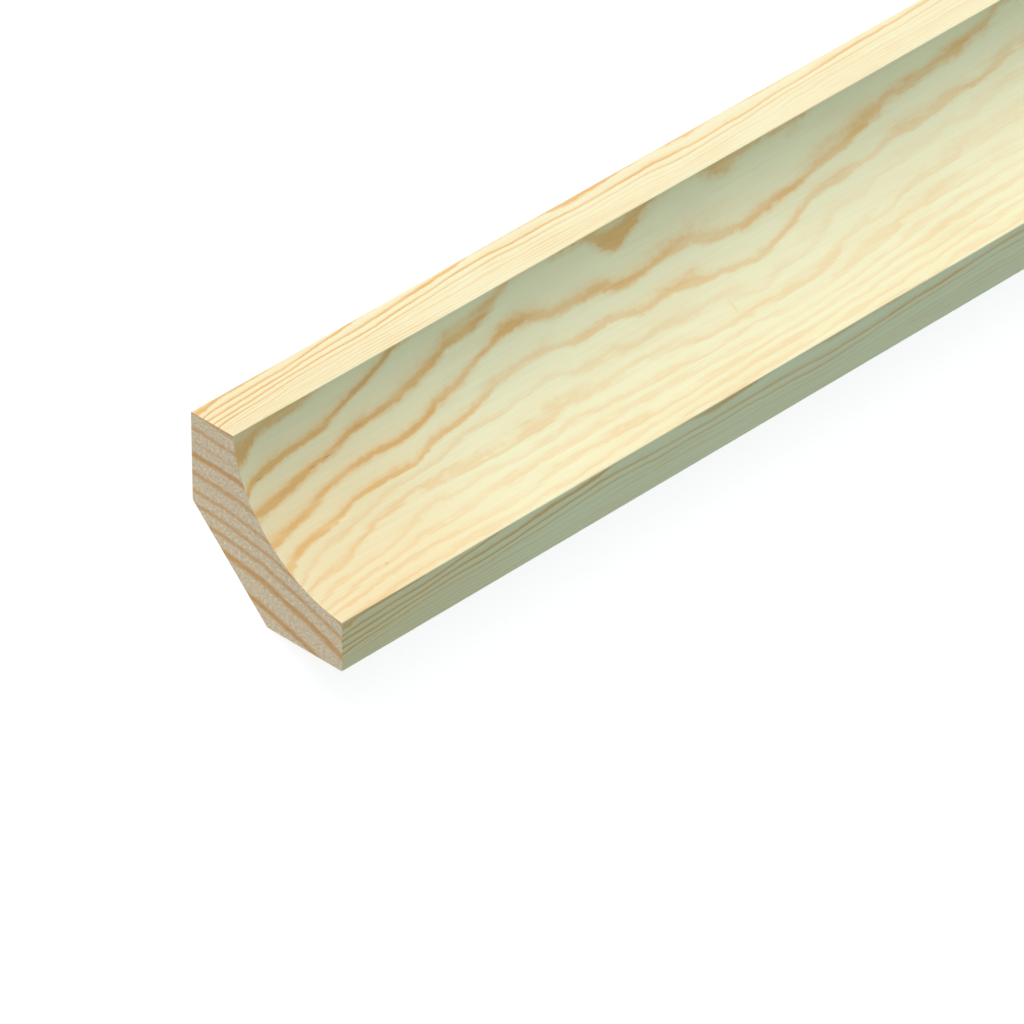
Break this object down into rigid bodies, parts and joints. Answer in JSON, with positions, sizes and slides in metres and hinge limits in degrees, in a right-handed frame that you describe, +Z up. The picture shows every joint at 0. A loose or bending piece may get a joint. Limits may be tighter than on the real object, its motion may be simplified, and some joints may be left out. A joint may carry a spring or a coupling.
{
  "type": "scotia moulding",
  "caption": "Long softwood scotia moulding: a square strip with a hollow along one corner, a flat lip each side of it, and the back corner bevelled off.",
  "frame": {"origin": "middle of the bevelled back corner's face, on which an unheld length lies, half way along the length", "axes": "+X along the length, away from the end that the picture shows; +Z up, out of the hollow; +Y to the side of the wall face"},
  "size_m": [2.4, 0.0254, 0.01],
  "materials": {
    "planed_pine": "matte"
  },
  "bodies": {
    "root": {"scotia_moulding": "planed_pine"}
  },
  "joints": []
}
